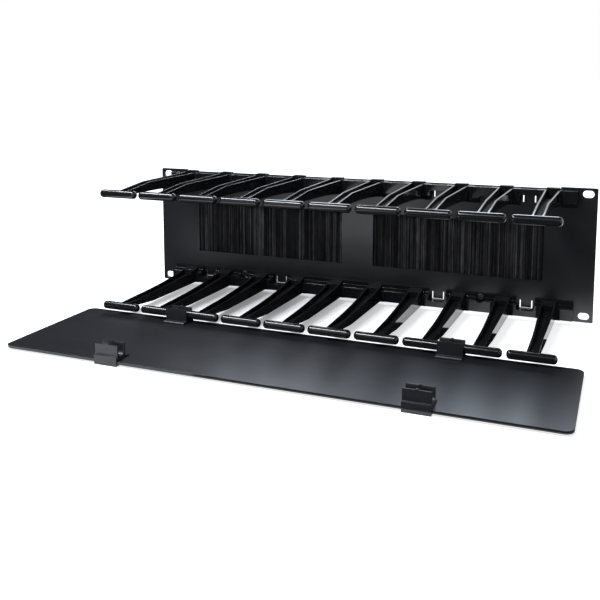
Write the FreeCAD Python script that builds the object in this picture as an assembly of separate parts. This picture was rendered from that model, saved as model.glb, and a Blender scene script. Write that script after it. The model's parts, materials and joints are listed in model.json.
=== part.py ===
import FreeCAD, Part
import math
import os
from FreeCAD import Vector

# Horizontal cable manager, three rack units high, single sided, with a hinged cover.
# Frame: X to the right, Y to the back, Z up, millimetres. The origin is the centre of the rack
# hole pattern, on the rear face of the back panel, which is the face that meets the rack.
# "depth" is a distance forward of the panel's front face, and "inset" is a distance inward
# from the panel's lower edge. The lower half is modelled, and the upper half is its mirror.

# ---- back panel: one flat steel sheet ----
PANEL_WIDTH = 482.6
PANEL_HEIGHT = 132.5
PANEL_THICKNESS = 2.0
PANEL_CORNER_RADIUS = 1.2
RACK_HOLE_END_DISTANCE = 8.75
RACK_HOLE_EDGE_DISTANCE = 5.925
RACK_SLOT_LENGTH = 10.5
RACK_SLOT_HEIGHT = 7.0
RELIEF_DEPTH = 1.8
RELIEF_END_CLEARANCE = 0.7
RELIEF_CORNER_RADIUS = 0.5

# ---- brush windows in the panel ----
WINDOW_END_INSET = 48.6
WINDOW_INSET = 37.5
WINDOW_CORNER_RADIUS = 1.0
MULLION_WIDTH = 35.0

# ---- spring tongues lanced in the panel, seen through the rail's windows ----
TONGUE_FINGER_COUNTS = (1, 3)
TONGUE_WIDTH = 12.4
TONGUE_HEIGHT = 8.0
TONGUE_INSET = 8.7
TONGUE_SIDE_SLIT = 1.1
TONGUE_TIP_SLIT = 0.7

# ---- finger rails: moulded strips of stepped section ----
FINGER_COUNT = 10
END_FINGER_INSET = 41.275
RAIL_END_LENGTH = 11.4
RAIL_INSET = 2.4
RAIL_WALL = 2.5
RAIL_BLOCK_DEPTH = 10.5
RAIL_BLOCK_TOP = 14.4
RAIL_STEP_DEPTH = 5.0
RAIL_STEP_TOP = 16.6
RAIL_FLANGE_TOP = 19.7
RAIL_EDGE_RADIUS = 0.6
RAIL_WINDOW_WIDTH = 17.6
RAIL_WINDOW_FLOOR = 8.5
RAIL_WINDOW_RADIUS = 2.5
CORE_DEPTH = 4.0
CORE_WALL = 2.0

# ---- rail screws, in U-shaped notches ----
SCREW_FINGER_COUNT = 2
SCREW_INSET = 16.0
SCREW_HOLE_CLEARANCE = 0.2
SCREW_RADIUS = 2.0
SCREW_LENGTH = 9.0
SCREW_HEAD_RADIUS = 3.5
SCREW_HEAD_HEIGHT = 2.4
SCREW_CROSS_WIDTH = 1.1
SCREW_CROSS_DEPTH = 1.3
SCREW_LAND = 1.2
NOTCH_CLEARANCE = 0.8
RAIL_NUT_WIDTH = 7.0
RAIL_NUT_THICKNESS = 3.2

# ---- fingers: mouldings with a root block, an arm of H section and a round cross bar ----
ROOT_WIDTH = 23.2
ROOT_PROUD = 0.8
ROOT_FIT = 0.05
ARM_ROOT_WIDTH = 14.6
ARM_WIDTH = 10.2
ARM_ROOT_TOP = 19.2
ARM_BEND_DEPTH = 98.5
ARM_TIP_OUTER = 7.7
ARM_TIP_INNER = 10.8
ARM_CURVE_ROOT = (50.0, 10.9)
ARM_CURVE_TIP = (100.0, 12.7)
ARM_WALL = 1.8
WEB_THICKNESS = 1.2
WEB_ROOT = 11.0
WEB_BEND = 7.0
WEB_TIP = 9.3
TROUGH_ROOT_WALL = 2.0
INNER_TROUGH_START = 14.0
TROUGH_TIP_WALL = 1.0
BAR_DEPTH = 148.8
BAR_INSET = 9.2
BAR_RADIUS = 4.0
BAR_LENGTH = 41.0
BAR_END_RADIUS = 3.3
HOOK_WIDTH = 12.6
HOOK_THICKNESS = 1.0
HOOK_LIP = 3.0
HOOK_LIP_THICKNESS = 1.2
HOOK_FIT = 0.05

# ---- clips: extruded snap profiles, four alike ----
CLIP_WIDTH = 22.3
CLIP_FINGER_COUNT = 2
CLIP_BAR_CLEARANCE = 0.09
CLIP_WALL = 1.9
CLIP_MOUTH_HEIGHT = 5.8
CLIP_LEAD_IN = 0.8
CLIP_LEAD_IN_HEIGHT = 1.5
CLIP_BLOCK_REACH = 7.9
CLIP_BLOCK_TOP = -3.6
CLIP_JAW_THICKNESS = 1.8
CLIP_UPPER_JAW_REACH = 11.1
CLIP_LOWER_JAW_REACH = 5.0
CLIP_JAW_TAPER = 0.8
CLIP_SLOT_FIT = 0.05
CLIP_NUB_WIDTH = 2.2
CLIP_NUB_HEIGHT = 0.7

# ---- cover plate ----
COVER_THICKNESS = 2.4
COVER_OFFSET = 7.5
COVER_MARGIN = 6.9
COVER_CORNER_RADIUS = 7.0

# ---- brushes: bristles folded over a wire and crimped in a channel, held by a bracket ----
BRISTLE_THICKNESS = 4.4
BRISTLE_SIDE_OVERLAP = 3.0
BRISTLE_FOOT_OVERLAP = 3.0
CHANNEL_WALL = 0.8
CHANNEL_HEIGHT = 8.0
CHANNEL_STANDOFF = 0.3
CHANNEL_RAISE = 1.2
CORE_WIRE_RADIUS = 0.9
CORE_WIRE_DROP = 2.2
BRACKET_THICKNESS = 1.2
BRACKET_END_MARGIN = 4.5
BRACKET_FLANGE_HEIGHT = 8.2
BRACKET_FIT = 0.1
BRACKET_BEND_RADIUS = 0.5
BRACKET_BACK_HEIGHT = 7.0
STUD_RADIUS = 1.5
STUD_LENGTH = 6.0
STUD_CLEARANCE = 0.2
STUD_NUT_WIDTH = 5.5
STUD_NUT_THICKNESS = 2.4
STUD_SPREAD = 74.0
STUD_HEIGHT = 4.9
NUT_BORE_CLEARANCE = 0.05

# ---- places worked out from the sizes above ----
FRONT = -PANEL_THICKNESS
HALF_HEIGHT = PANEL_HEIGHT / 2
RACK_HOLE_SPACING_X = PANEL_WIDTH - 2 * RACK_HOLE_END_DISTANCE
RACK_HOLE_SPACING_Z = PANEL_HEIGHT - 2 * RACK_HOLE_EDGE_DISTANCE
FINGER_SPAN = PANEL_WIDTH - 2 * END_FINGER_INSET
FINGER_PITCH = FINGER_SPAN / (FINGER_COUNT - 1)
WINDOW_WIDTH = (PANEL_WIDTH - MULLION_WIDTH) / 2 - WINDOW_END_INSET
RELIEF_LENGTH = FINGER_SPAN + HOOK_WIDTH + 2 * RELIEF_END_CLEARANCE
RAIL_LENGTH = FINGER_SPAN + ROOT_WIDTH + 2 * RAIL_END_LENGTH
WINDOW_HEIGHT = PANEL_HEIGHT - 2 * WINDOW_INSET
ROOT_DEPTH = RAIL_BLOCK_DEPTH + ROOT_PROUD
WINDOW_CENTRE = (MULLION_WIDTH + WINDOW_WIDTH) / 2
BAR_Y = FRONT - BAR_DEPTH
BAR_Z = BAR_INSET - HALF_HEIGHT
BAR_SPACING_Z = PANEL_HEIGHT - 2 * BAR_INSET
MOUTH_RADIUS = BAR_RADIUS + CLIP_BAR_CLEARANCE
CHANNEL_BOTTOM = WINDOW_HEIGHT / 2 + CHANNEL_RAISE
CHANNEL_TOP = CHANNEL_BOTTOM + CHANNEL_HEIGHT
CHANNEL_DEPTH = BRISTLE_THICKNESS + 2 * CHANNEL_WALL
BRUSH_LENGTH = WINDOW_WIDTH + 2 * BRISTLE_SIDE_OVERLAP
BRUSH_CENTRE_Y = CHANNEL_STANDOFF + CHANNEL_DEPTH / 2
BRACKET_SHELF = CHANNEL_TOP + BRACKET_FIT
STUD_Z = BRACKET_SHELF + STUD_HEIGHT
NOTCH_RADIUS = SCREW_HEAD_RADIUS + NOTCH_CLEARANCE
SIDES = (-1, 1)
ALONG_X = Vector(1, 0, 0)
ALONG_Y = Vector(0, 1, 0)
ALONG_Z = Vector(0, 0, 1)

# ---- tool sizes, which no piece takes ----
OVERRUN = 1.0
BEYOND = 100.0
PARALLEL = 0.01
SAME_PLACE = 0.01
HEXAGON_SIDES = 6


def finger_x(index):
    """Centre of a finger, counted from 0 at the left."""
    return (index - (FINGER_COUNT - 1) / 2) * FINGER_PITCH


def gap_x(fingers_outside):
    """Distance from the middle plane to the gap with this many fingers outside it."""
    return (FINGER_COUNT / 2 - fingers_outside) * FINGER_PITCH


def at_depth(depth):
    return FRONT - depth


def at_inset(inset):
    return inset - HALF_HEIGHT


def box(x0, x1, y0, y1, z0, z1):
    return Part.makeBox(x1 - x0, y1 - y0, z1 - z0, Vector(x0, y0, z0))


def mirrored(shape):
    """The same part at the upper edge of the panel."""
    return shape.mirror(Vector(0, 0, 0), ALONG_Z)


def edges_along(shape, axis):
    """The straight edges that run along an axis."""
    return [e for e in shape.Edges if e.tangentAt(e.FirstParameter).cross(axis).Length < PARALLEL]


def rounded_plate(width, height, radius, y0, y1):
    """A plate in the XZ plane, centred on the origin, with rounded corners."""
    plate = box(-width / 2, width / 2, y0, y1, -height / 2, height / 2)
    return plate.makeFillet(radius, edges_along(plate, ALONG_Y))


def slot_tool(width, height, y0, y1):
    """A cutter for a slot with round ends, centred on the origin, long way along X."""
    radius = height / 2
    reach = (width - height) / 2
    body = box(-reach, reach, y0, y1, -radius, radius)
    ends = [cylinder_y(radius, side * reach, 0, y0, y1) for side in SIDES]
    return body.fuse(ends)


def cylinder_y(radius, x, z, y0, y1):
    return Part.makeCylinder(radius, y1 - y0, Vector(x, y0, z), ALONG_Y)


def hexagon_nut(width, thickness, bore, x, y, z):
    """A hexagon nut with its seat at y, facing back."""
    step = 2 * math.pi / HEXAGON_SIDES
    reach = width / 2 / math.cos(step / 2)
    angles = [step * i for i in range(HEXAGON_SIDES)]
    rim = [Vector(x + reach * math.cos(a), y, z + reach * math.sin(a)) for a in angles]
    blank = Part.Face(Part.makePolygon(rim + rim[:1])).extrude(Vector(0, thickness, 0))
    return blank.cut(cylinder_y(bore, x, z, y - OVERRUN, y + thickness + OVERRUN))


def edges_through(prism, y, z):
    """The edges along X that pass through one point of a prism's outline."""
    return [
        e for e in edges_along(prism, ALONG_X)
        if math.hypot(e.CenterOfMass.y - y, e.CenterOfMass.z - z) < SAME_PLACE
    ]


def prism_x(points, x0, x1):
    """A prism along X over a closed outline of (y, z) points."""
    ring = [Vector(x0, y, z) for y, z in points]
    return Part.Face(Part.makePolygon(ring + ring[:1])).extrude(Vector(x1 - x0, 0, 0))


def prism_z(points, z0, z1):
    """A prism along Z over a closed outline of (x, y) points."""
    ring = [Vector(x, y, z0) for x, y in points]
    return Part.Face(Part.makePolygon(ring + ring[:1])).extrude(Vector(0, 0, z1 - z0))


# ---------------------------------------------------------------- back panel


def edge_relief():
    """The shallow step in the lower edge that leaves room for the fingers' hooks."""
    top = at_inset(RELIEF_DEPTH)
    half = RELIEF_LENGTH / 2
    tool = box(-half, half, FRONT - OVERRUN, OVERRUN, top - BEYOND, top)
    corners = [e for e in edges_along(tool, ALONG_Y) if e.CenterOfMass.z > top - OVERRUN]
    return tool.makeFillet(RELIEF_CORNER_RADIUS, corners)


def tongue_slit(x):
    """A three-sided slit: the tongue inside it stays joined on the side away from the edge."""
    low = at_inset(TONGUE_INSET)
    half = TONGUE_WIDTH / 2
    outer = box(x - half, x + half, FRONT - OVERRUN, OVERRUN, low, low + TONGUE_HEIGHT)
    half -= TONGUE_SIDE_SLIT
    tongue = box(x - half, x + half, FRONT - BEYOND, BEYOND, low + TONGUE_TIP_SLIT, low + BEYOND)
    return outer.cut(tongue)


def lower_edge_cuts():
    """Everything cut at the panel's lower edge, which the upper edge repeats."""
    cuts = [edge_relief()]
    hole = SCREW_RADIUS + SCREW_HOLE_CLEARANCE
    for side in SIDES:
        for count in TONGUE_FINGER_COUNTS:
            cuts.append(tongue_slit(side * gap_x(count)))
        screw_x = side * gap_x(SCREW_FINGER_COUNT)
        cuts.append(cylinder_y(hole, screw_x, at_inset(SCREW_INSET), FRONT - OVERRUN, OVERRUN))
    return cuts


def back_panel():
    panel = rounded_plate(PANEL_WIDTH, PANEL_HEIGHT, PANEL_CORNER_RADIUS, FRONT, 0)
    cuts = []
    for cut in lower_edge_cuts():
        cuts += [cut, mirrored(cut)]
    through = (FRONT - OVERRUN, OVERRUN)
    window = rounded_plate(WINDOW_WIDTH, WINDOW_HEIGHT, WINDOW_CORNER_RADIUS, *through)
    slot = slot_tool(RACK_SLOT_LENGTH, RACK_SLOT_HEIGHT, *through)
    for side in SIDES:
        cuts.append(window.translated(Vector(side * WINDOW_CENTRE, 0, 0)))
        for level in SIDES:
            place = Vector(side * RACK_HOLE_SPACING_X / 2, 0, level * RACK_HOLE_SPACING_Z / 2)
            cuts.append(slot.translated(place))
    return panel.cut(cuts)


# ---------------------------------------------------------------- finger rails


def rail_blank():
    """The stepped section: a deep block, a step, and a thin flange against the panel."""
    outline = [
        (FRONT, at_inset(RAIL_INSET)),
        (at_depth(RAIL_BLOCK_DEPTH), at_inset(RAIL_INSET)),
        (at_depth(RAIL_BLOCK_DEPTH), at_inset(RAIL_BLOCK_TOP)),
        (at_depth(RAIL_STEP_DEPTH), at_inset(RAIL_BLOCK_TOP)),
        (at_depth(RAIL_STEP_DEPTH), at_inset(RAIL_STEP_TOP)),
        (at_depth(RAIL_WALL), at_inset(RAIL_STEP_TOP)),
        (at_depth(RAIL_WALL), at_inset(RAIL_FLANGE_TOP)),
        (FRONT, at_inset(RAIL_FLANGE_TOP)),
    ]
    blank = prism_x(outline, -RAIL_LENGTH / 2, RAIL_LENGTH / 2)
    convex = [outline[1], outline[2], outline[4]]
    rounded = [e for y, z in convex for e in edges_through(blank, y, z)]
    return blank.makeFillet(RAIL_EDGE_RADIUS, rounded)


def root_socket(x):
    """Room in the rail for one finger's root block and for the foot of its arm."""
    front = at_depth(ROOT_DEPTH + OVERRUN)
    wall = at_depth(RAIL_WALL)
    half = ROOT_WIDTH / 2 + ROOT_FIT
    arm = ARM_ROOT_WIDTH / 2 + ROOT_FIT
    block_top = at_inset(RAIL_BLOCK_TOP + ROOT_FIT)
    flange_top = at_inset(RAIL_FLANGE_TOP + OVERRUN)
    block = box(x - half, x + half, front, wall, at_inset(0), block_top)
    foot = box(x - arm, x + arm, front, wall, block_top - OVERRUN, flange_top)
    return block.fuse(foot)


def rail_window(x):
    """A notch with round lower corners that bares one tongue of the panel."""
    half = RAIL_WINDOW_WIDTH / 2
    front = at_depth(RAIL_BLOCK_DEPTH + OVERRUN)
    floor = at_inset(RAIL_WINDOW_FLOOR)
    tool = box(x - half, x + half, front, 0, floor, at_inset(RAIL_FLANGE_TOP + OVERRUN))
    corners = [e for e in edges_along(tool, ALONG_Y) if e.CenterOfMass.z < floor + OVERRUN]
    return tool.makeFillet(RAIL_WINDOW_RADIUS, corners)


def screw_notch(x):
    """A U-shaped notch down to a thin land, and the screw's hole through that land."""
    z = at_inset(SCREW_INSET)
    front = at_depth(RAIL_BLOCK_DEPTH + OVERRUN)
    land = at_depth(SCREW_LAND)
    top = at_inset(RAIL_FLANGE_TOP + OVERRUN)
    bore = cylinder_y(NOTCH_RADIUS, x, z, front, land)
    above = box(x - NOTCH_RADIUS, x + NOTCH_RADIUS, front, land, z, top)
    hole = cylinder_y(SCREW_RADIUS + SCREW_HOLE_CLEARANCE, x, z, front, 0)
    return bore.fuse([above, hole])


def moulding_core(x, width):
    """A pocket that keeps the rail's wall even, open on the side that faces outward."""
    low = at_inset(RAIL_INSET)
    back = at_depth(RAIL_WALL + CORE_WALL)
    front = at_depth(RAIL_BLOCK_DEPTH - CORE_WALL)
    return box(x - width / 2, x + width / 2, front, back, low - OVERRUN, low + CORE_DEPTH)


def finger_rail():
    cuts = [root_socket(finger_x(i)) for i in range(FINGER_COUNT)]
    bay = FINGER_PITCH - ROOT_WIDTH - 2 * ROOT_FIT
    for i in range(FINGER_COUNT - 1):
        cuts.append(moulding_core(finger_x(i) + FINGER_PITCH / 2, bay - 2 * CORE_WALL))
    for side in SIDES:
        cuts.append(screw_notch(side * gap_x(SCREW_FINGER_COUNT)))
        for count in TONGUE_FINGER_COUNTS:
            cuts.append(rail_window(side * gap_x(count)))
    return rail_blank().cut(cuts)


# ---------------------------------------------------------------- rail fasteners


def rail_screw(x):
    """A pan-head screw with a cross recess, its head on the rail's land."""
    z = at_inset(SCREW_INSET)
    seat = at_depth(SCREW_LAND)
    top = seat - SCREW_HEAD_HEIGHT
    head = cylinder_y(SCREW_HEAD_RADIUS, x, z, top, seat)
    rim = [e for e in head.Edges if e.Closed and e.CenterOfMass.y < top + SAME_PLACE]
    head = head.makeFillet(SCREW_HEAD_HEIGHT / 2, rim)
    arm = SCREW_HEAD_RADIUS / 2
    half = SCREW_CROSS_WIDTH / 2
    across = box(x - arm, x + arm, top - OVERRUN, top + SCREW_CROSS_DEPTH, z - half, z + half)
    upright = box(x - half, x + half, top - OVERRUN, top + SCREW_CROSS_DEPTH, z - arm, z + arm)
    shank = cylinder_y(SCREW_RADIUS, x, z, seat, seat + SCREW_LENGTH)
    return head.cut([across, upright]).fuse(shank)


def rail_nut(x):
    bore = SCREW_RADIUS + NUT_BORE_CLEARANCE
    return hexagon_nut(RAIL_NUT_WIDTH, RAIL_NUT_THICKNESS, bore, x, 0, at_inset(SCREW_INSET))


def in_four_places(make):
    """One fastener at each end of the lower rail, and the same on the upper rail."""
    lower = [make(side * gap_x(SCREW_FINGER_COUNT)) for side in SIDES]
    return Part.makeCompound(lower + [mirrored(shape) for shape in lower])


# ---------------------------------------------------------------- fingers


def arm_profile():
    """The arm from the side: a level outer edge that bends in to the bar, and a curved inner edge."""
    foot = at_depth(RAIL_WALL)
    tip = at_depth(BAR_DEPTH)
    outline = [
        Vector(0, foot, at_inset(ARM_ROOT_TOP)),
        Vector(0, foot, at_inset(RAIL_INSET)),
        Vector(0, at_depth(ARM_BEND_DEPTH), at_inset(RAIL_INSET)),
        Vector(0, tip, at_inset(ARM_TIP_OUTER)),
        Vector(0, tip, at_inset(ARM_TIP_INNER)),
    ]
    curve = Part.BezierCurve()
    poles = [ARM_CURVE_TIP, ARM_CURVE_ROOT]
    middle = [Vector(0, at_depth(depth), at_inset(inset)) for depth, inset in poles]
    curve.setPoles([outline[-1]] + middle + [outline[0]])
    wire = Part.Wire([Part.makePolygon(outline), curve.toShape()])
    half = ROOT_WIDTH
    return Part.Face(wire).extrude(Vector(2 * half, 0, 0)).translated(Vector(-half, 0, 0))


def arm_plan(margin, foot, tip):
    """The arm from above: it narrows from its foot to the bend, then runs parallel to the bar."""
    wide = ARM_ROOT_WIDTH / 2 - margin
    narrow = ARM_WIDTH / 2 - margin
    right = [
        (wide, at_depth(foot)),
        (wide, at_depth(ROOT_DEPTH)),
        (narrow, at_depth(ARM_BEND_DEPTH)),
        (narrow, at_depth(tip)),
    ]
    left = [(-x, y) for x, y in reversed(right)]
    return prism_z(right + left, at_inset(-BEYOND), at_inset(BEYOND))


def trough_side(sign):
    """The space beside the web, on the outer side (-1) or the inner side (+1) of the arm."""
    half = WEB_THICKNESS / 2
    start = RAIL_WALL + TROUGH_ROOT_WALL if sign < 0 else INNER_TROUGH_START
    slope = (WEB_BEND - WEB_ROOT) / (ARM_BEND_DEPTH - ROOT_DEPTH)
    foot_inset = WEB_ROOT + slope * (start - ROOT_DEPTH)
    web = [(start, foot_inset), (ARM_BEND_DEPTH, WEB_BEND), (BAR_DEPTH, WEB_TIP)]
    near = [(at_depth(d), at_inset(i + sign * half)) for d, i in web]
    far = [(at_depth(BAR_DEPTH), at_inset(sign * BEYOND)), (at_depth(start), at_inset(sign * BEYOND))]
    return prism_x(near + far, -ROOT_WIDTH, ROOT_WIDTH)


def arm():
    """Two side walls joined by a web, which leaves a trough on the outer and the inner side."""
    body = arm_profile().common(arm_plan(0, RAIL_WALL, BAR_DEPTH))
    trough_tip = BAR_DEPTH - BAR_RADIUS - TROUGH_TIP_WALL
    hollow = arm_plan(ARM_WALL, RAIL_WALL + TROUGH_ROOT_WALL, trough_tip)
    return body.cut([hollow.common(trough_side(-1)), hollow.common(trough_side(1))])


def root_block():
    """The wide block that seats in the rail, a little proud of the rail's face."""
    half = ROOT_WIDTH / 2
    front = at_depth(ROOT_DEPTH)
    block = box(-half, half, front, at_depth(RAIL_WALL), at_inset(RAIL_INSET), at_inset(RAIL_BLOCK_TOP))
    hollow = ARM_ROOT_WIDTH / 2 - ARM_WALL
    start = at_depth(RAIL_WALL + TROUGH_ROOT_WALL)
    floor = at_inset(WEB_ROOT - WEB_THICKNESS / 2)
    return block.cut(box(-hollow, hollow, front - OVERRUN, start, at_inset(0), floor))


def edge_hook():
    """A strap from the root block over the panel's edge, with a lip behind the panel."""
    half = HOOK_WIDTH / 2
    under = RELIEF_DEPTH - HOOK_FIT
    over = under - HOOK_THICKNESS
    back = HOOK_FIT + HOOK_LIP_THICKNESS
    seat = at_depth(RAIL_WALL + TROUGH_ROOT_WALL)
    strap = box(-half, half, seat, back, at_inset(over), at_inset(under))
    pad = box(-half, half, seat, at_depth(RAIL_WALL), at_inset(over), at_inset(RAIL_INSET + OVERRUN))
    lip = box(-half, half, HOOK_FIT, back, at_inset(over), at_inset(under + HOOK_LIP))
    return strap.fuse([pad, lip])


def cross_bar():
    """The round bar across the arm's end, which keeps cables in and carries the clips."""
    start = Vector(-BAR_LENGTH / 2, BAR_Y, BAR_Z)
    bar = Part.makeCylinder(BAR_RADIUS, BAR_LENGTH, start, ALONG_X)
    rims = [e for e in bar.Edges if e.Closed and e.Length > BAR_RADIUS]
    return bar.makeFillet(BAR_END_RADIUS, rims)


def finger():
    """One lower finger, with its centre plane at x = 0."""
    return arm().fuse([root_block(), edge_hook(), cross_bar()]).removeSplitter()


# ---------------------------------------------------------------- cover and clips


def cover_plate():
    """The flat cover, drawn open: it lies level in front of the lower bars."""
    top = BAR_Z - COVER_OFFSET
    back = BAR_Y + COVER_MARGIN
    front = BAR_Y - BAR_SPACING_Z - COVER_MARGIN
    half = PANEL_WIDTH / 2
    plate = box(-half, half, front, back, top - COVER_THICKNESS, top)
    return plate.makeFillet(COVER_CORNER_RADIUS, edges_along(plate, ALONG_Z))


def clip_outline():
    """The clip from the side. The bar's centre is the origin, +Y leads out past the cover's edge,
    and +Z leads away from the cover's inner face. The arc is the seat of the bar."""
    outer = MOUTH_RADIUS + CLIP_WALL
    tip = CLIP_MOUTH_HEIGHT
    lead = CLIP_MOUTH_HEIGHT - CLIP_LEAD_IN_HEIGHT
    slot_top = -COVER_OFFSET + CLIP_SLOT_FIT
    slot_low = -COVER_OFFSET - COVER_THICKNESS - CLIP_SLOT_FIT
    foot = slot_low - CLIP_JAW_THICKNESS
    jaw = slot_top + CLIP_JAW_THICKNESS
    slot_end = COVER_MARGIN + CLIP_SLOT_FIT
    right = [
        (MOUTH_RADIUS, 0),
        (MOUTH_RADIUS, lead),
        (MOUTH_RADIUS + CLIP_LEAD_IN, tip),
        (outer, tip),
        (outer, CLIP_BLOCK_TOP),
        (CLIP_BLOCK_REACH, CLIP_BLOCK_TOP),
        (CLIP_BLOCK_REACH, foot),
        (-CLIP_LOWER_JAW_REACH, foot),
        (-CLIP_LOWER_JAW_REACH - CLIP_JAW_TAPER, slot_low - CLIP_JAW_TAPER),
        (-CLIP_LOWER_JAW_REACH - CLIP_JAW_TAPER, slot_low),
        (slot_end, slot_low),
        (slot_end, slot_top),
        (-CLIP_UPPER_JAW_REACH, slot_top),
        (-CLIP_UPPER_JAW_REACH, jaw - CLIP_JAW_TAPER),
        (-CLIP_UPPER_JAW_REACH + CLIP_JAW_TAPER, jaw),
        (-outer, jaw),
        (-outer, tip),
        (-MOUTH_RADIUS - CLIP_LEAD_IN, tip),
        (-MOUTH_RADIUS, lead),
        (-MOUTH_RADIUS, 0),
    ]
    return [Vector(0, y, z) for y, z in right]


def clip():
    """A clip with its bar at the origin, wrapped round a cover edge that lies on the +Y side."""
    ring = clip_outline()
    seat = Part.Arc(ring[-1], Vector(0, 0, -MOUTH_RADIUS), ring[0]).toShape()
    wire = Part.Wire([Part.makePolygon(ring), seat])
    body = Part.Face(wire).extrude(Vector(CLIP_WIDTH, 0, 0)).translated(Vector(-CLIP_WIDTH / 2, 0, 0))
    return body.fuse([clip_nub(side) for side in SIDES]).removeSplitter()


def clip_nub(side):
    """A nub at the middle of a wall's tip, which stands between two neighbouring bars."""
    half = CLIP_NUB_WIDTH / 2
    inner = side * MOUTH_RADIUS
    outer = side * (MOUTH_RADIUS + CLIP_WALL)
    low = CLIP_MOUTH_HEIGHT - CLIP_LEAD_IN_HEIGHT
    high = CLIP_MOUTH_HEIGHT + CLIP_NUB_HEIGHT
    return box(-half, half, min(inner, outer), max(inner, outer), low, high)


def hinge_clip(side):
    """A clip on the cover's rear edge, round the ends of two lower bars."""
    return clip().translated(Vector(side * gap_x(CLIP_FINGER_COUNT), BAR_Y, BAR_Z))


def latch_clip(side):
    """The same clip turned about, on the front edge. It snaps on two upper bars when closed."""
    turned = clip().rotated(Vector(0, 0, 0), ALONG_Z, 180)
    place = Vector(side * gap_x(CLIP_FINGER_COUNT), BAR_Y - BAR_SPACING_Z, BAR_Z)
    return turned.translated(place)


# ---------------------------------------------------------------- brushes


def brush_x(side):
    centre = side * WINDOW_CENTRE
    return centre - BRUSH_LENGTH / 2, centre + BRUSH_LENGTH / 2


def core_wire(side):
    x0, x1 = brush_x(side)
    start = Vector(x0, BRUSH_CENTRE_Y, CHANNEL_TOP - CHANNEL_WALL - CORE_WIRE_DROP)
    return Part.makeCylinder(CORE_WIRE_RADIUS, x1 - x0, start, ALONG_X)


def bristle_pack(side):
    """The bristles as one soft solid, from inside the channel to below the window."""
    x0, x1 = brush_x(side)
    y0 = BRUSH_CENTRE_Y - BRISTLE_THICKNESS / 2
    low = -WINDOW_HEIGHT / 2 - BRISTLE_FOOT_OVERLAP
    pack = box(x0, x1, y0, y0 + BRISTLE_THICKNESS, low, CHANNEL_TOP - CHANNEL_WALL)
    return pack.cut(core_wire(side))


def brush_channel(side):
    """The folded channel that is crimped on the bristles. It is open below."""
    x0, x1 = brush_x(side)
    y0 = CHANNEL_STANDOFF
    y1 = y0 + CHANNEL_DEPTH
    outside = box(x0, x1, y0, y1, CHANNEL_BOTTOM, CHANNEL_TOP)
    folds = edges_through(outside, y0, CHANNEL_TOP) + edges_through(outside, y1, CHANNEL_TOP)
    outside = outside.makeFillet(CHANNEL_WALL, folds)
    low = CHANNEL_BOTTOM - OVERRUN
    high = CHANNEL_TOP - CHANNEL_WALL
    y0 += CHANNEL_WALL
    y1 -= CHANNEL_WALL
    return outside.cut(box(x0 - OVERRUN, x1 + OVERRUN, y0, y1, low, high))


def brush_bracket(side):
    """A folded sheet: a flange on the panel, a shelf over the channel and a leg behind it."""
    shelf = BRACKET_SHELF
    back = CHANNEL_STANDOFF + CHANNEL_DEPTH + BRACKET_FIT
    t = BRACKET_THICKNESS
    outline = [
        (0, shelf),
        (0, shelf + BRACKET_FLANGE_HEIGHT),
        (t, shelf + BRACKET_FLANGE_HEIGHT),
        (t, shelf + t),
        (back + t, shelf + t),
        (back + t, shelf - BRACKET_BACK_HEIGHT),
        (back, shelf - BRACKET_BACK_HEIGHT),
        (back, shelf),
    ]
    x0, x1 = brush_x(side)
    bracket = prism_x(outline, x0 - BRACKET_END_MARGIN, x1 + BRACKET_END_MARGIN)
    folds = {(0, shelf): t + BRACKET_BEND_RADIUS, (t, shelf + t): BRACKET_BEND_RADIUS}
    folds.update({(back + t, shelf + t): t + BRACKET_BEND_RADIUS, (back, shelf): BRACKET_BEND_RADIUS})
    for (y, z), radius in folds.items():
        bracket = bracket.makeFillet(radius, edges_through(bracket, y, z))
    hole = STUD_RADIUS + STUD_CLEARANCE
    return bracket.cut([cylinder_y(hole, x, STUD_Z, -OVERRUN, t + OVERRUN) for x in stud_xs(side)])


def stud_xs(side):
    centre = side * WINDOW_CENTRE
    return [centre - STUD_SPREAD, centre, centre + STUD_SPREAD]


def bracket_studs():
    """Studs welded to the panel's rear face, so that nothing shows at the front."""
    studs = [
        cylinder_y(STUD_RADIUS, x, STUD_Z, 0, STUD_LENGTH)
        for side in SIDES
        for x in stud_xs(side)
    ]
    return Part.makeCompound(studs)


def bracket_nuts():
    bore = STUD_RADIUS + NUT_BORE_CLEARANCE
    nuts = [
        hexagon_nut(STUD_NUT_WIDTH, STUD_NUT_THICKNESS, bore, x, BRACKET_THICKNESS, STUD_Z)
        for side in SIDES
        for x in stud_xs(side)
    ]
    return Part.makeCompound(nuts)


# ---------------------------------------------------------------- all sub-parts


def sub_parts():
    rail = finger_rail()
    parts = {
        "back_panel": back_panel(),
        "lower_finger_rail": rail,
        "upper_finger_rail": mirrored(rail),
        "rail_screws": in_four_places(rail_screw),
        "rail_nuts": in_four_places(rail_nut),
        "cover_plate": cover_plate(),
        "bracket_studs": bracket_studs(),
        "bracket_nuts": bracket_nuts(),
    }
    lower = finger()
    upper = mirrored(lower)
    for i in range(FINGER_COUNT):
        place = Vector(finger_x(i), 0, 0)
        parts[f"lower_finger_{i + 1:02d}"] = lower.translated(place)
        parts[f"upper_finger_{i + 1:02d}"] = upper.translated(place)
    for side, word in zip(SIDES, ("left", "right")):
        parts[f"hinge_clip_{word}"] = hinge_clip(side)
        parts[f"latch_clip_{word}"] = latch_clip(side)
        parts[f"brush_channel_{word}"] = brush_channel(side)
        parts[f"brush_bracket_{word}"] = brush_bracket(side)
        parts[f"brush_core_wire_{word}"] = core_wire(side)
        parts[f"bristle_pack_{word}"] = bristle_pack(side)
    return parts


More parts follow.
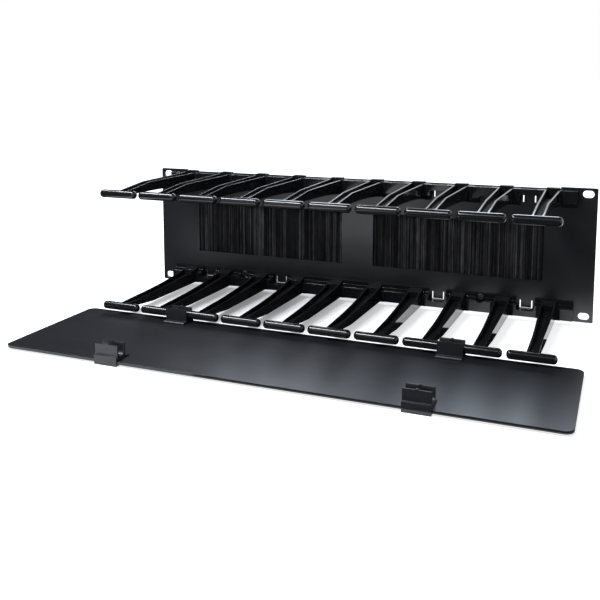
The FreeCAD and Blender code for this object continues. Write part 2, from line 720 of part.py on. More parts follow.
os.makedirs("parts", exist_ok=True)
for name, shape in sub_parts().items():
    shape.exportStep(f"parts/{name}.step")
    box_size = shape.BoundBox
    print(
        f"{name}: {len(shape.Solids)} solid(s), {shape.Volume:.1f} mm3,"
        f" {box_size.XLength:.2f} x {box_size.YLength:.2f} x {box_size.ZLength:.2f} mm,"
        f" valid {shape.isValid()}"
    )
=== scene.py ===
# %% [markdown]
# # A horizontal cable manager for a server rack
# This lesson dresses a finished CAD model. The model is a black steel panel, three rack units
# high, with two brush windows, two rows of moulded fingers and a flat cover that hangs on the
# lower row. The shapes are already right, so the work here is edges, finishes, bristles and light.
# The first step loads the CAD as a fixed frame and notes how large it is.

import json
import math

import bpy
import numpy as np
from mathutils import Euler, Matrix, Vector


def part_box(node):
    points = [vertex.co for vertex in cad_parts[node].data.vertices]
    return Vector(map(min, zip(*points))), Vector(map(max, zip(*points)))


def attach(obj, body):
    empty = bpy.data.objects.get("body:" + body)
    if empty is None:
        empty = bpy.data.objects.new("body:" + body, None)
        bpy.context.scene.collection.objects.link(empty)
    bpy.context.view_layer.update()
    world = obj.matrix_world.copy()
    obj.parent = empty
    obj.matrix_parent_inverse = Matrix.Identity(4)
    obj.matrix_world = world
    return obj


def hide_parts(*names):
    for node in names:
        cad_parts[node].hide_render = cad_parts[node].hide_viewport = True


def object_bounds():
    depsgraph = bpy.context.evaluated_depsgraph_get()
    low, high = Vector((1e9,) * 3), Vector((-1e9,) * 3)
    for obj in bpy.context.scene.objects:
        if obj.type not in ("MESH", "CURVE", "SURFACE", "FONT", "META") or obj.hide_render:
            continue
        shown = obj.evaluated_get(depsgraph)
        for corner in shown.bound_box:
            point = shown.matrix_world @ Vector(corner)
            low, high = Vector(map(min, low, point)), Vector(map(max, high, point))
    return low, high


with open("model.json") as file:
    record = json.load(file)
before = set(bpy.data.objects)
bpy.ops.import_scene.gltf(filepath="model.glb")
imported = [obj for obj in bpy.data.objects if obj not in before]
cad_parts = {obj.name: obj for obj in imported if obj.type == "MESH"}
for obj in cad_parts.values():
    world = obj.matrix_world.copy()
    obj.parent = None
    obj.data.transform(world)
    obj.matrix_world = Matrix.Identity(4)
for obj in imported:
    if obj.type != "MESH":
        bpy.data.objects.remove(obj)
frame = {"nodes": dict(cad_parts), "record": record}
nodes = frame["nodes"]
cad_box = [list(corner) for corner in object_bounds()]
print("CAD pieces:", len(nodes), "box:", [[round(v, 4) for v in corner] for corner in cad_box])

# %% [markdown]
# ## Where the camera stands
# The product is seen from the right, a little above its top edge, so both rows of fingers and
# the whole open cover show. The camera stays level from side to side. Its frame is shifted down,
# as with a view camera, so that upright edges stay nearly upright while the cover stays in view.

# %% Set the camera
CAMERA_PLACE = (0.26647, -0.82168, 0.17065)
CAMERA_TURN = 22.103
CAMERA_PITCH = 7.115
CAMERA_LENS = 48.78
FRAME_SHIFT = -0.2
SENSOR_WIDTH = 36.0

camera_data = bpy.data.cameras.new("camera")
camera_data.lens = CAMERA_LENS
camera_data.sensor_width = SENSOR_WIDTH
camera_data.shift_y = FRAME_SHIFT
camera = bpy.data.objects.new("camera", camera_data)
camera.location = CAMERA_PLACE
camera.rotation_euler = Euler((math.radians(90 - CAMERA_PITCH), 0, math.radians(CAMERA_TURN)))
bpy.context.scene.collection.objects.link(camera)
bpy.context.scene.camera = camera
print("camera at", CAMERA_PLACE, "lens", CAMERA_LENS)

# %% [markdown]
# ## Small helpers for finishes
# Each finish is a node tree. Most of them need the same few things: a grain that sits in the
# object's own space, so that it has a real size in millimetres, a way to turn that grain into a
# range of values, and a bump. These helpers keep each finish short enough to read.

# %% Node helpers
MM = 0.001
GRAIN_LOW, GRAIN_HIGH = 0.3, 0.7


def new_finish(name):
    finish = bpy.data.materials.new(name)
    finish.use_nodes = True
    tree = finish.node_tree
    shader = tree.nodes["Principled BSDF"]
    return finish, tree, shader


def grain(tree, size_mm, detail=3.0, stretch=(1, 1, 1), roughness=0.5):
    """A noise whose cells are about size_mm across, in the object's own space."""
    place = tree.nodes.new("ShaderNodeTexCoord")
    mapping = tree.nodes.new("ShaderNodeMapping")
    mapping.inputs["Scale"].default_value = stretch
    noise = tree.nodes.new("ShaderNodeTexNoise")
    noise.inputs["Scale"].default_value = 1 / (size_mm * MM)
    noise.inputs["Detail"].default_value = detail
    noise.inputs["Roughness"].default_value = roughness
    tree.links.new(place.outputs["Object"], mapping.inputs["Vector"])
    tree.links.new(mapping.outputs["Vector"], noise.inputs["Vector"])
    return noise.outputs["Fac"]


def spread(tree, value, low, high, from_low=GRAIN_LOW, from_high=GRAIN_HIGH):
    """Turns a grain, which seldom leaves its middle, into values between low and high."""
    node = tree.nodes.new("ShaderNodeMapRange")
    node.inputs["From Min"].default_value = from_low
    node.inputs["From Max"].default_value = from_high
    node.inputs["To Min"].default_value = low
    node.inputs["To Max"].default_value = high
    tree.links.new(value, node.inputs["Value"])
    return node.outputs["Result"]


def between(tree, value, dark, light):
    """Mixes two colours by a value from 0 to 1."""
    node = tree.nodes.new("ShaderNodeMix")
    node.data_type = "RGBA"
    node.inputs["A"].default_value = (*dark, 1)
    node.inputs["B"].default_value = (*light, 1)
    tree.links.new(value, node.inputs["Factor"])
    return node.outputs["Result"]


def bump(tree, shader, height, depth_mm, under=None):
    """Raises the skin by a height, depth_mm at most, over any bump that is under it."""
    node = tree.nodes.new("ShaderNodeBump")
    node.inputs["Distance"].default_value = depth_mm * MM
    node.inputs["Strength"].default_value = 1.0
    tree.links.new(height, node.inputs["Height"])
    if under is not None:
        tree.links.new(under, node.inputs["Normal"])
    tree.links.new(node.outputs["Normal"], shader.inputs["Normal"])
    return node.outputs["Normal"]


print("finish helpers ready")

# %% [markdown]
# ## Satin powder coat
# The panel and the brush brackets are steel with a black powder coat. The powder melts into a
# film with a faint orange peel: soft hills about a millimetre wide and ten microns high. A slow
# change in roughness across the sheet keeps wide reflections from looking printed on.

# %% Powder coat
PEEL_MM, PEEL_DEPTH_MM = 1.1, 0.012
CLOUD_MM, SPECK_MM = 45.0, 0.25
COAT_TINTS = (0.008, 0.008, 0.010), (0.015, 0.015, 0.018)
COAT_ROUGHNESS = 0.29, 0.35
COAT_SPECULAR = 0.8


def powder_coat():
    finish, tree, shader = new_finish("black_powder_coat")
    peel = grain(tree, PEEL_MM, detail=2.0)
    cloud = grain(tree, CLOUD_MM, detail=2.0)
    speck = grain(tree, SPECK_MM, detail=2.0)
    tint = between(tree, spread(tree, speck, 0, 1), *COAT_TINTS)
    tree.links.new(tint, shader.inputs["Base Color"])
    tree.links.new(spread(tree, cloud, *COAT_ROUGHNESS), shader.inputs["Roughness"])
    shader.inputs["Specular IOR Level"].default_value = COAT_SPECULAR
    bump(tree, shader, peel, PEEL_DEPTH_MM)
    return finish


POWDER_COAT = powder_coat()
print("made", POWDER_COAT.name)

# %% [markdown]
# ## Satin cover
# The cover is aluminium sheet with a thinner, smoother black coat, so its highlights are wide
# but clean. It gets a finer peel than the panel, and very light wiping marks along its length.

# %% Cover coat
FINE_PEEL_MM, FINE_PEEL_DEPTH_MM = 0.7, 0.006
WIPING_MM, WIPING_STRETCH = 6.0, (0.08, 1, 1)
COVER_CLOUD_MM = 80.0
COVER_TINTS = (0.010, 0.010, 0.012), (0.014, 0.014, 0.016)
COVER_ROUGHNESS = 0.31, 0.35


def cover_coat():
    finish, tree, shader = new_finish("black_satin_cover")
    peel = grain(tree, FINE_PEEL_MM, detail=2.0)
    wiping = grain(tree, WIPING_MM, detail=3.0, stretch=WIPING_STRETCH)
    cloud = grain(tree, COVER_CLOUD_MM, detail=1.0)
    tint = between(tree, spread(tree, cloud, 0, 1), *COVER_TINTS)
    tree.links.new(tint, shader.inputs["Base Color"])
    tree.links.new(spread(tree, wiping, *COVER_ROUGHNESS), shader.inputs["Roughness"])
    bump(tree, shader, peel, FINE_PEEL_DEPTH_MM)
    return finish


COVER_COAT = cover_coat()
print("made", COVER_COAT.name)

# %% [markdown]
# ## Glossy moulded plastic
# Fingers and rails are injection moulded in black. A polished mould gives a bright skin, with
# slight waves where the plastic shrank as it cooled. The channels along the arms and the inner
# corners get painted shade: there the finish turns rough and nearly stops mirroring, so they
# stay dark. The first need is a mask for such places. An Ambient Occlusion node finds them by
# itself, because it tells how closed in each point is.

# %% Find the recesses
RECESS_RAYS = 24
RECESS_SHUT = 0.92


def closed_in(tree, reach_mm):
    """0 on open faces and 1 deep in a channel or corner, judged over reach_mm."""
    around = tree.nodes.new("ShaderNodeAmbientOcclusion")
    around.inputs["Distance"].default_value = reach_mm * MM
    around.samples = RECESS_RAYS
    around.only_local = True
    return spread(tree, around.outputs["AO"], 1, 0, RECESS_SHUT, 1)


print("recesses are found with", RECESS_RAYS, "rays a point")

# %% [markdown]
# ## Polished outside, painted shade inside
# With the mask, one finish serves fingers and rails alike: a low roughness on the open faces,
# and in the recesses painted shade, a high roughness with hardly any mirror reflection.

# %% Moulded plastic
SHRINK_MM, SHRINK_DEPTH_MM = 12.0, 0.02
SKIN_MM, SKIN_DEPTH_MM = 0.5, 0.002
RUBBED_MM = 14.0
MOULDED_TINTS = (0.007, 0.007, 0.008), (0.011, 0.011, 0.012)
RECESS_REACH_MM = 5.0
POLISHED = 0.12, 0.17
RECESS_SHADE_ROUGHNESS = 0.75
POLISHED_SPECULAR = 0.5
RECESS_SHADE_SPECULAR = 0.05


def moulded_plastic():
    finish, tree, shader = new_finish("black_moulded_plastic")
    shrink = grain(tree, SHRINK_MM, detail=1.0)
    skin = grain(tree, SKIN_MM, detail=2.0)
    rubbed = grain(tree, RUBBED_MM, detail=3.0)
    tint = between(tree, spread(tree, skin, 0, 1), *MOULDED_TINTS)
    tree.links.new(tint, shader.inputs["Base Color"])
    # Painted shade: the recess mask darkens channels and inner corners by roughness and a cut in
    # mirror reflection.
    recess_shade = closed_in(tree, RECESS_REACH_MM)
    recess_shade_mix = tree.nodes.new("ShaderNodeMix")
    tree.links.new(recess_shade, recess_shade_mix.inputs["Factor"])
    tree.links.new(spread(tree, rubbed, *POLISHED), recess_shade_mix.inputs["A"])
    recess_shade_mix.inputs["B"].default_value = RECESS_SHADE_ROUGHNESS
    tree.links.new(recess_shade_mix.outputs["Result"], shader.inputs["Roughness"])
    specular = spread(tree, recess_shade, POLISHED_SPECULAR, RECESS_SHADE_SPECULAR, 0, 1)
    tree.links.new(specular, shader.inputs["Specular IOR Level"])
    waves = bump(tree, shader, shrink, SHRINK_DEPTH_MM)
    bump(tree, shader, skin, SKIN_DEPTH_MM, under=waves)
    return finish


MOULDED = moulded_plastic()
print("made", MOULDED.name)

# %% [markdown]
# ## Matte clips
# The clips are cut from an extruded profile. The die leaves a dull skin with fine lines along
# the profile, which lie across the cover's edge from side to side.

# %% Clip plastic
LINE_MM, LINE_STRETCH, LINE_DEPTH_MM = 0.5, (0.03, 1, 1), 0.010
CLIP_SKIN_MM = 0.3
CLIP_TINTS = (0.013, 0.013, 0.015), (0.020, 0.020, 0.023)
CLIP_ROUGHNESS = 0.36, 0.46


def clip_plastic():
    finish, tree, shader = new_finish("black_extruded_clip")
    lines = grain(tree, LINE_MM, detail=2.0, stretch=LINE_STRETCH)
    skin = grain(tree, CLIP_SKIN_MM, detail=2.0)
    tint = between(tree, spread(tree, lines, 0, 1), *CLIP_TINTS)
    tree.links.new(tint, shader.inputs["Base Color"])
    tree.links.new(spread(tree, skin, *CLIP_ROUGHNESS), shader.inputs["Roughness"])
    bump(tree, shader, lines, LINE_DEPTH_MM)
    return finish


EXTRUDED = clip_plastic()
print("made", EXTRUDED.name)

# %% [markdown]
# ## Plated nuts and studs
# Behind the panel are zinc-plated nuts and studs. Plating is a thin, slightly hazy metal, so a
# fine grain varies its tint and its roughness together.

# %% Plated steel
HAZE_MM, HAZE_DEPTH_MM = 1.6, 0.006
PLATED_TINTS = (0.50, 0.51, 0.53), (0.62, 0.63, 0.65)
PLATED_ROUGHNESS = 0.26, 0.42


def plated_steel():
    finish, tree, shader = new_finish("zinc_plated_steel")
    haze = grain(tree, HAZE_MM, detail=3.0)
    tint = between(tree, spread(tree, haze, 0, 1), *PLATED_TINTS)
    tree.links.new(tint, shader.inputs["Base Color"])
    shader.inputs["Metallic"].default_value = 1.0
    tree.links.new(spread(tree, haze, *PLATED_ROUGHNESS), shader.inputs["Roughness"])
    bump(tree, shader, haze, HAZE_DEPTH_MM)
    return finish


PLATED = plated_steel()
print("made", PLATED.name)

# %% [markdown]
# ## Galvanised channels
# The brushes' channels are bent from galvanised sheet. Zinc freezes on it in a spangle of
# crystals a few millimetres across, which Voronoi cells copy well.

# %% Galvanised steel
SPANGLE_MM = 3.0
DIMPLE_MM, DIMPLE_DEPTH_MM = 0.8, 0.008
SPANGLE_TINTS = (0.40, 0.41, 0.43), (0.56, 0.57, 0.59)
SPANGLE_ROUGHNESS = 0.30, 0.48


def galvanised_steel():
    finish, tree, shader = new_finish("spangled_zinc_sheet")
    place = tree.nodes.new("ShaderNodeTexCoord")
    cells = tree.nodes.new("ShaderNodeTexVoronoi")
    cells.inputs["Scale"].default_value = 1 / (SPANGLE_MM * MM)
    tree.links.new(place.outputs["Object"], cells.inputs["Vector"])
    tone = tree.nodes.new("ShaderNodeSeparateColor")
    tree.links.new(cells.outputs["Color"], tone.inputs["Color"])
    shade = spread(tree, tone.outputs["Red"], 0, 1, 0, 1)
    tree.links.new(between(tree, shade, *SPANGLE_TINTS), shader.inputs["Base Color"])
    shader.inputs["Metallic"].default_value = 1.0
    roughness = spread(tree, tone.outputs["Green"], *SPANGLE_ROUGHNESS, 0, 1)
    tree.links.new(roughness, shader.inputs["Roughness"])
    bump(tree, shader, grain(tree, DIMPLE_MM), DIMPLE_DEPTH_MM)
    return finish


GALVANISED = galvanised_steel()
print("made", GALVANISED.name)

# %% [markdown]
# ## Black screws
# The screws in the rails are steel with a thin black oxide skin. It is a little lighter and
# rougher than the plastic round it, so the heads stay readable.

# %% Black oxide
OXIDE_MM, OXIDE_DEPTH_MM = 0.4, 0.010
OXIDE_TINTS = (0.016, 0.016, 0.017), (0.034, 0.034, 0.035)
OXIDE_ROUGHNESS = 0.28, 0.40


def black_screw():
    finish, tree, shader = new_finish("black_oxide_screw")
    skin = grain(tree, OXIDE_MM, detail=3.0)
    tint = between(tree, spread(tree, skin, 0, 1), *OXIDE_TINTS)
    tree.links.new(tint, shader.inputs["Base Color"])
    tree.links.new(spread(tree, skin, *OXIDE_ROUGHNESS), shader.inputs["Roughness"])
    bump(tree, shader, skin, OXIDE_DEPTH_MM)
    return finish


SCREW_BLACK = black_screw()
print("made", SCREW_BLACK.name)

# %% [markdown]
# ## Put each finish on its pieces
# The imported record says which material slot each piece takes. One table from slot to finish
# dresses the whole model, so no piece can be forgotten. The two plain bristle packs take the
# plastic's finish for now, because real strands replace them further down.

# %% Assign finishes
FINISH_OF_SLOT = {
    "panel_steel": POWDER_COAT,
    "cover_aluminium": COVER_COAT,
    "moulded_plastic": MOULDED,
    "clip_plastic": EXTRUDED,
    "bristles": MOULDED,
    "black_fastener": SCREW_BLACK,
    "plated_fastener": PLATED,
    "galvanised_steel": GALVANISED,
}
slot_of_node = {p["node"]: p["material_slot"] for p in frame["record"]["subparts"]}
for name, piece in nodes.items():
    piece.data.materials.clear()
    piece.data.materials.append(FINISH_OF_SLOT[slot_of_node[name]])
print("dressed", len(nodes), "pieces with", len(set(FINISH_OF_SLOT.values())), "finishes")

# %% [markdown]
# ## Join each piece into one skin
# A real edge is never perfectly sharp: the mould, the die or the coat rounds it, and that small
# round catches the light as a bright line. CAD faces come as separate patches with sharp edges,
# and a bevel can't work across a seam. A small node group joins them first and marks where the
# skin turns sharply. It drops the stored normals, which belong to the separate faces and would
# bend the reflections on the joined skin.

# %% Node group for one skin
SHARP_TURN = 32
JOIN_DISTANCE = 0.01 * MM


def one_skin():
    """A node group that joins a piece's faces and shades them smooth up to its sharp turns."""
    group = bpy.data.node_groups.new("one_skin", "GeometryNodeTree")
    group.interface.new_socket("Geometry", in_out="INPUT", socket_type="NodeSocketGeometry")
    group.interface.new_socket("Geometry", in_out="OUTPUT", socket_type="NodeSocketGeometry")
    add = group.nodes.new
    bare = add("GeometryNodeRemoveAttribute")
    bare.inputs["Name"].default_value = "custom_normal"
    join = add("GeometryNodeMergeByDistance")
    join.inputs["Distance"].default_value = JOIN_DISTANCE
    smooth = add("GeometryNodeSetShadeSmooth")
    turn = add("GeometryNodeInputMeshEdgeAngle")
    sharp = add("FunctionNodeCompare")
    sharp.inputs["B"].default_value = math.radians(SHARP_TURN)
    crisp = add("GeometryNodeSetShadeSmooth")
    crisp.domain = "EDGE"
    crisp.inputs["Shade Smooth"].default_value = False
    group.links.new(turn.outputs["Unsigned Angle"], sharp.inputs["A"])
    group.links.new(sharp.outputs["Result"], crisp.inputs["Selection"])
    chain = [add("NodeGroupInput"), bare, join, smooth, crisp, add("NodeGroupOutput")]
    for near, far in zip(chain, chain[1:]):
        group.links.new(near.outputs[0], far.inputs[0])
    return group


ONE_SKIN = one_skin()
print("made the node group", ONE_SKIN.name, "with", len(ONE_SKIN.nodes), "nodes")

# %% [markdown]
# ## Soften the edges
# Now a narrow bevel rounds the sharp turns, each by what its making leaves: most on mouldings,
# least on thin zinc sheet. A last modifier shares the normals out by area, so that the long faces
# of a bar keep their own, and the light draws a straight line along them.

# %% Bevel every piece
BEVEL_STEPS = 2
AREA_WEIGHT = 50
EDGE_ROUND_MM = {
    "panel_steel": 0.25,
    "cover_aluminium": 0.35,
    "moulded_plastic": 0.45,
    "clip_plastic": 0.30,
    "black_fastener": 0.15,
    "plated_fastener": 0.20,
    "galvanised_steel": 0.10,
}


def soften(piece, width_mm):
    skin = piece.modifiers.new("one_skin", "NODES")
    skin.node_group = ONE_SKIN
    bevel = piece.modifiers.new("edge_round", "BEVEL")
    bevel.width = width_mm * MM
    bevel.segments = BEVEL_STEPS
    bevel.limit_method = "ANGLE"
    bevel.angle_limit = math.radians(SHARP_TURN)
    bevel.use_clamp_overlap = True
    even = piece.modifiers.new("even_shading", "WEIGHTED_NORMAL")
    even.mode = "FACE_AREA"
    even.weight = AREA_WEIGHT
    even.keep_sharp = True


for name, piece in nodes.items():
    width_mm = EDGE_ROUND_MM.get(slot_of_node[name])
    if width_mm:
        soften(piece, width_mm)
print("edges softened")

# %% [markdown]
# ## Bristles
# Each brush is thousands of nylon strands folded over a wire and crimped in a channel. They hang
# side by side. In front they lean a little in small tufts, and behind they hang straight, so
# that no gap opens. Some strands catch the light while others stay in shadow. A plain block
# can't show that, whatever its finish, so every strand is real geometry. The nylon's finish
# comes first: one number per strand, its tone, sets a random dark tone and, for a few strands,
# a painted highlight that colours them light grey.

# %% Bristle finish
ALONG_MM, ALONG_STRETCH = 5.0, (1, 1, 0.4)
ALONG_GAIN = 0.6, 1.2
STRAND_BLACK_TO_HIGHLIGHT = (0.004, 0.004, 0.004), (0.155, 0.152, 0.155)
STRAND_ROUGHNESS = 0.55, 0.35
STRAND_SPECULAR = 0.15


def bristle_finish():
    finish, tree, shader = new_finish("black_nylon_bristle")
    tone = tree.nodes.new("ShaderNodeAttribute")
    tone.attribute_name = "strand_tone_and_highlight"
    along = grain(tree, ALONG_MM, detail=2.0, stretch=ALONG_STRETCH)
    mixed = tree.nodes.new("ShaderNodeMath")
    mixed.operation = "MULTIPLY"
    tree.links.new(tone.outputs["Fac"], mixed.inputs[0])
    tree.links.new(spread(tree, along, *ALONG_GAIN), mixed.inputs[1])
    shade = mixed.outputs["Value"]
    # The tone colours each strand from near black to light grey; the light grey is a painted
    # highlight.
    tree.links.new(between(tree, shade, *STRAND_BLACK_TO_HIGHLIGHT), shader.inputs["Base Color"])
    tree.links.new(spread(tree, shade, *STRAND_ROUGHNESS, 0, 1), shader.inputs["Roughness"])
    shader.inputs["Specular IOR Level"].default_value = STRAND_SPECULAR
    return finish


BRISTLE = bristle_finish()
print("made", BRISTLE.name)

# %% [markdown]
# ## Lay out the strands
# Placing thousands of strands one by one would be slow, so NumPy places them all at once. Every
# strand has a few rings from its root to its tip, and arrays hold the rings' centres. The random
# numbers start from a fixed seed, so each run grows the same brush.

# %% Strand paths
STRAND_COUNT = 7200
STRAND_RADIUS = 0.00017
STRAND_RINGS = 5
ROOT_MARGIN = 0.12
FRONT_SHARE = 0.45
TUFT_WIDTH = 0.0008
TUFT_LEAN = 0.0003
STRAND_LEAN = 0.00018
SHORTEST_CUT = 0.02
LEAN_CURVE = 1.5


def strand_paths(rng, low, high):
    """The x, y and z of every ring. Strands hang from the top of the box low to high."""
    width, depth, height = (high[i] - low[i] for i in range(3))
    root_x = low[0] + STRAND_RADIUS + rng.random(STRAND_COUNT) * (width - 2 * STRAND_RADIUS)
    across = ROOT_MARGIN + (1 - 2 * ROOT_MARGIN) * rng.random(STRAND_COUNT)
    root_y = low[1] + depth * across
    tuft = ((root_x - low[0]) / TUFT_WIDTH).astype(int)
    tuft_lean = rng.normal(0, TUFT_LEAN, tuft.max() + 1)[tuft] * (across < FRONT_SHARE)
    lean = tuft_lean + rng.normal(0, STRAND_LEAN, STRAND_COUNT)
    bow = rng.normal(0, STRAND_LEAN, STRAND_COUNT)
    drift = rng.normal(0, STRAND_LEAN, STRAND_COUNT)
    drop = height * (1 - SHORTEST_CUT * rng.random(STRAND_COUNT))
    share = np.linspace(0, 1, STRAND_RINGS)[None, :]
    sway = lean[:, None] * share ** LEAN_CURVE + bow[:, None] * np.sin(math.pi * share)
    x = np.clip(root_x[:, None] + sway, low[0] + STRAND_RADIUS, high[0] - STRAND_RADIUS)
    y = root_y[:, None] + drift[:, None] * share
    y = np.clip(y, low[1] + STRAND_RADIUS, high[1] - STRAND_RADIUS)
    z = high[2] - drop[:, None] * share
    return x, y, z


print(STRAND_COUNT, "strands a brush, each with", STRAND_RINGS, "rings")

# %% [markdown]
# ## Skin the strands
# Three sides are enough for a tube a third of a millimetre thick. Each ring gets three points,
# turned by an angle that each strand draws for itself, and quads join the neighbouring rings.
# All strands of a brush go into one mesh, which Blender handles far better than thousands.

# %% Strand skin
SIDES = 3


def ring_points(rng, x, y, z):
    """The points of every ring, strand by strand."""
    turn = rng.random(STRAND_COUNT)[:, None, None] * math.tau
    angle = turn + np.arange(SIDES)[None, None, :] * math.tau / SIDES
    return np.stack([
        x[:, :, None] + STRAND_RADIUS * np.cos(angle),
        y[:, :, None] + STRAND_RADIUS * np.sin(angle),
        np.broadcast_to(z[:, :, None], (STRAND_COUNT, STRAND_RINGS, SIDES)),
    ], axis=-1).reshape(-1, 3)


def ring_quads():
    """The quads between rings, by the numbers of their four points."""
    first = np.arange(STRAND_COUNT)[:, None, None] * STRAND_RINGS * SIDES
    ring = first + np.arange(STRAND_RINGS - 1)[None, :, None] * SIDES
    side = np.arange(SIDES)[None, None, :]
    near = (side + 1) % SIDES
    corners = [ring + side, ring + near, ring + SIDES + near, ring + SIDES + side]
    return np.stack(corners, axis=-1).reshape(-1, 4)


print("quads in a brush:", len(ring_quads()))

# %% [markdown]
# ## Grow both brushes
# Most strands are nearly black. A few narrow streaks are painted bright, as painted highlights
# of strands that face the light, and a high power keeps these streaks rare. The finish reads
# this tone from an attribute of the mesh. Each brush takes the place of its plain CAD pack.

# %% Grow the bristles
HIGHLIGHT_STREAK_WIDTH = 0.0008
HIGHLIGHT_STREAK_POWER = 5
STRAND_TONE, TONE_SHAPE = 0.4, (1.0, 4.0)
FIRST_SEED = 7


def strand_tones_and_highlights(rng, root_x):
    """The tone of each strand, from 0 to 1: a random tone plus painted highlight streaks. root_x
    is counted from the brush's left end.
    """
    streak = (root_x / HIGHLIGHT_STREAK_WIDTH).astype(int)
    # Painted highlights: whole narrow streaks of strands get a bright tone, as if they faced the
    # light.
    painted_highlight = rng.random(streak.max() + 1)[streak] ** HIGHLIGHT_STREAK_POWER
    return np.clip(STRAND_TONE * rng.beta(*TONE_SHAPE, STRAND_COUNT) + painted_highlight, 0, 1)


def bristle_mesh(name, low, high, seed):
    """One brush, which fills the box from low to high."""
    rng = np.random.default_rng(seed)
    x, y, z = strand_paths(rng, low, high)
    mesh = bpy.data.meshes.new(name)
    mesh.from_pydata(ring_points(rng, x, y, z).tolist(), [], ring_quads().tolist())
    mesh.shade_smooth()
    tone = strand_tones_and_highlights(rng, x[:, 0] - low[0])
    values = np.repeat(tone, STRAND_RINGS * SIDES).astype(np.float32)
    mesh.attributes.new("strand_tone_and_highlight", "FLOAT", "POINT").data.foreach_set("value", values)
    return mesh


for seed, word in enumerate(("left", "right"), FIRST_SEED):
    low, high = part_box(f"bristle_pack_{word}")
    mesh = bristle_mesh(f"bristles_{word}", low, high, seed)
    bristles = bpy.data.objects.new(f"bristles_{word}", mesh)
    bpy.context.scene.collection.objects.link(bristles)
    bristles.data.materials.append(BRISTLE)
    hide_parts(f"bristle_pack_{word}")
    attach(bristles, "frame")
    print(bristles.name, "has", STRAND_COUNT, "strands and", len(mesh.polygons), "faces")

# %% [markdown]
# ## Light that is only seen
# The backdrop has to look white without lighting the product. So floor and room need to know
# what a ray is for: one that goes to the camera or a mirror may see white, while one that carries
# light to another surface may not.

# %% Seen directly
def seen_directly(tree):
    """1 for rays from the camera, a mirror or a glass, and 0 for rays that carry light."""
    path = tree.nodes.new("ShaderNodeLightPath")
    total = path.outputs["Is Camera Ray"]
    for kind in ("Is Glossy Ray", "Is Transmission Ray"):
        add = tree.nodes.new("ShaderNodeMath")
        add.use_clamp = True
        tree.links.new(total, add.inputs[0])
        tree.links.new(path.outputs[kind], add.inputs[1])
        total = add.outputs["Value"]
    return total


print("rays that see are told from rays that light")

# %% [markdown]
# ## White floor
# The product stands on a plain white floor that runs out to a white horizon. The floor takes
# soft shadows. Its own colour is close to white, and a share of glow that is only seen lifts it
# the rest of the way. The share is small near the product, which paints extra shade on the
# floor under and round it, and grows with the distance.

# %% Floor
FLOOR_SIZE = 80.0
FLOOR_GAP = 0.0002
PAINTED_SHADE_CENTRE = (-0.10, -0.06, 0.0)
PAINTED_SHADE_NEAR, PAINTED_SHADE_FAR = 0.03, 0.22
NEAR_LIFT, FAR_LIFT = 0.2, 0.75
MOTTLE_MM = 400.0
FLOOR_TINTS = (0.84, 0.84, 0.85), (0.86, 0.86, 0.87)
FLOOR_ROUGHNESS, FLOOR_SPECULAR = 0.9, 0.1


def floor_finish():
    finish, tree, shader = new_finish("white_floor")
    mottle = grain(tree, MOTTLE_MM, detail=2.0)
    tint = between(tree, spread(tree, mottle, 0, 1), *FLOOR_TINTS)
    tree.links.new(tint, shader.inputs["Base Color"])
    shader.inputs["Roughness"].default_value = FLOOR_ROUGHNESS
    shader.inputs["Specular IOR Level"].default_value = FLOOR_SPECULAR
    place = tree.nodes.new("ShaderNodeTexCoord")
    away = tree.nodes.new("ShaderNodeVectorMath")
    away.operation = "DISTANCE"
    away.inputs[1].default_value = PAINTED_SHADE_CENTRE
    tree.links.new(place.outputs["Object"], away.inputs[0])
    lift = tree.nodes.new("ShaderNodeMath")
    lift.operation = "MULTIPLY"
    tree.links.new(seen_directly(tree), lift.inputs[0])
    # Painted shade: the seen glow is small near the product, so the floor there stays darker.
    share = spread(tree, away.outputs["Value"], NEAR_LIFT, FAR_LIFT, PAINTED_SHADE_NEAR, PAINTED_SHADE_FAR)
    tree.links.new(share, lift.inputs[1])
    shader.inputs["Emission Color"].default_value = (1, 1, 1, 1)
    tree.links.new(lift.outputs["Value"], shader.inputs["Emission Strength"])
    return finish


def sheet(name, width, height):
    """A flat rectangle about its own centre."""
    x, y = width / 2, height / 2
    mesh = bpy.data.meshes.new(name)
    mesh.from_pydata([(-x, -y, 0), (x, -y, 0), (x, y, 0), (-x, y, 0)], [], [(0, 1, 2, 3)])
    return mesh


floor_level = min(corner[2] for corner in cad_box)
floor = bpy.data.objects.new("floor", sheet("floor", FLOOR_SIZE, FLOOR_SIZE))
floor.location.z = floor_level - FLOOR_GAP
floor.data.materials.append(floor_finish())
bpy.context.scene.collection.objects.link(floor)
print("floor at", round(floor_level, 4))

# %% [markdown]
# ## Soft studio light
# Black gloss shows its surroundings more than its own colour. A long, narrow strip box overhead
# draws one clean bright line along each bar. Two softboxes behind the product give the level
# cover its broad glow, and a weak one in front opens up the shadows.

# %% Lights
COOL_WHITE = (0.93, 0.96, 1.0)
SKY = (0.82, 0.88, 1.0)
DEEP_SKY = (0.74, 0.85, 1.0)
LIGHTS = {
    "strip_box": {
        "place": (-0.6, -0.55, 1.25), "aim": (-0.13, -0.15, 0.0),
        "size": (1.36, 0.16), "power": 29.0, "tint": COOL_WHITE,
    },
    "back_left_box": {
        "place": (-0.81, 1.57, 1.20), "aim": (0.0, -0.25, -0.05),
        "size": (0.36, 0.8), "power": 10.0, "tint": SKY,
    },
    "back_right_box": {
        "place": (-0.12, 1.71, 1.20), "aim": (0.1, -0.25, -0.05),
        "size": (0.45, 0.8), "power": 12.0, "tint": DEEP_SKY,
    },
    "near_box": {
        "place": (-0.2, -0.62, 0.2), "aim": (0.0, 0.0, 0.0),
        "size": (0.3, 0.2), "power": 0.2, "tint": SKY,
    },
}


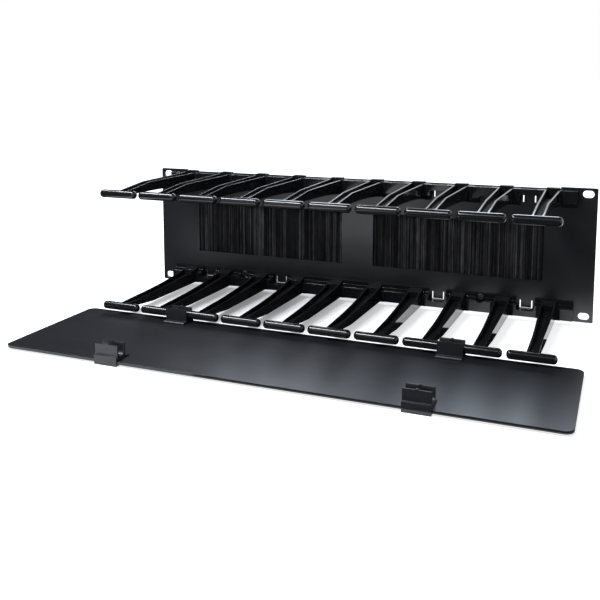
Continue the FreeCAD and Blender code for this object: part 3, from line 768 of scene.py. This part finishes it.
def soft_light(name, place, aim, size, power, tint):
    data = bpy.data.lights.new(name, "AREA")
    data.shape = "RECTANGLE"
    data.size, data.size_y = size
    data.energy = power
    data.color = tint
    light = bpy.data.objects.new(name, data)
    light.location = place
    light.rotation_euler = (Vector(aim) - Vector(place)).to_track_quat("-Z", "Y").to_euler()
    light.visible_camera = False
    bpy.context.scene.collection.objects.link(light)
    return light


for name, spec in LIGHTS.items():
    soft_light(name, **spec)
print("lights:", len(LIGHTS))

# %% [markdown]
# ## Pale room
# A pale grey room fills the rest of the light from all sides. Where it is only seen, it is
# white, so the horizon blends with the floor.

# %% Room
ROOM_TINT = (0.31, 0.325, 0.35)
BACKDROP_WHITE = (1.0, 1.0, 1.0)

world = bpy.data.worlds.new("pale_room")
bpy.context.scene.world = world
world.use_nodes = True
tree = world.node_tree
background = tree.nodes["Background"]
room = between(tree, seen_directly(tree), ROOM_TINT, BACKDROP_WHITE)
tree.links.new(room, background.inputs["Color"])
background.inputs["Strength"].default_value = 1.0
bpy.context.scene.view_settings.view_transform = "Standard"
print("room tint", ROOM_TINT)

# %% [markdown]
# ## Black flags
# A black gloss product mirrors the white room, and looks grey. Studios stand black cards, called
# flags, round the product, above it and on the table, so that the lights alone show as bright
# lines. The gap in the flags behind the product stays open: there the white room lights the ribs
# of the arms. These flags are seen by glossy rays only, so they cast no shadow.

# %% Flags
FACING_UP = (0.0, 0.0, 0.0)
FACING_FRONT = (90.0, 0.0, 0.0)
FACING_SIDE = (0.0, 90.0, 0.0)
FLAGS = {
    "left_flag": {"place": (-1.8, 0.2, 0.9), "turn": FACING_SIDE, "size": (2.0, 5.0)},
    "back_flag": {"place": (-1.5, 2.4, 0.9), "turn": FACING_FRONT, "size": (1.0, 2.0)},
    "front_flag": {"place": (-0.3, -2.4, 0.9), "turn": FACING_FRONT, "size": (4.0, 2.0)},
    "top_flag": {"place": (-0.3, 0.3, 2.4), "turn": FACING_UP, "size": (5.0, 4.6)},
    "under_flag": {"place": (-0.27, 0.3, -0.0661), "turn": FACING_UP, "size": (0.66, 0.9)},
    "low_left_flag": {"place": (-1.15, -1.2, -0.066), "turn": FACING_UP, "size": (1.7, 2.4)},
    "low_right_flag": {"place": (0.6, -1.21, -0.066), "turn": FACING_UP, "size": (1.3, 2.28)},
}
FLAG_BLACK = (0.02, 0.02, 0.02, 1)

flag_finish, _, flag_shader = new_finish("black_flag")
flag_shader.inputs["Base Color"].default_value = FLAG_BLACK
flag_shader.inputs["Roughness"].default_value = 1.0
flag_shader.inputs["Specular IOR Level"].default_value = 0.0


def flag(name, place, turn, size):
    card = bpy.data.objects.new(name, sheet(name, *size))
    card.location = place
    card.rotation_euler = [math.radians(angle) for angle in turn]
    card.data.materials.append(flag_finish)
    card.visible_camera = False
    card.visible_diffuse = False
    card.visible_transmission = False
    card.visible_shadow = False
    bpy.context.scene.collection.objects.link(card)
    return card


for name, spec in FLAGS.items():
    flag(name, **spec)
print("flags:", len(FLAGS))
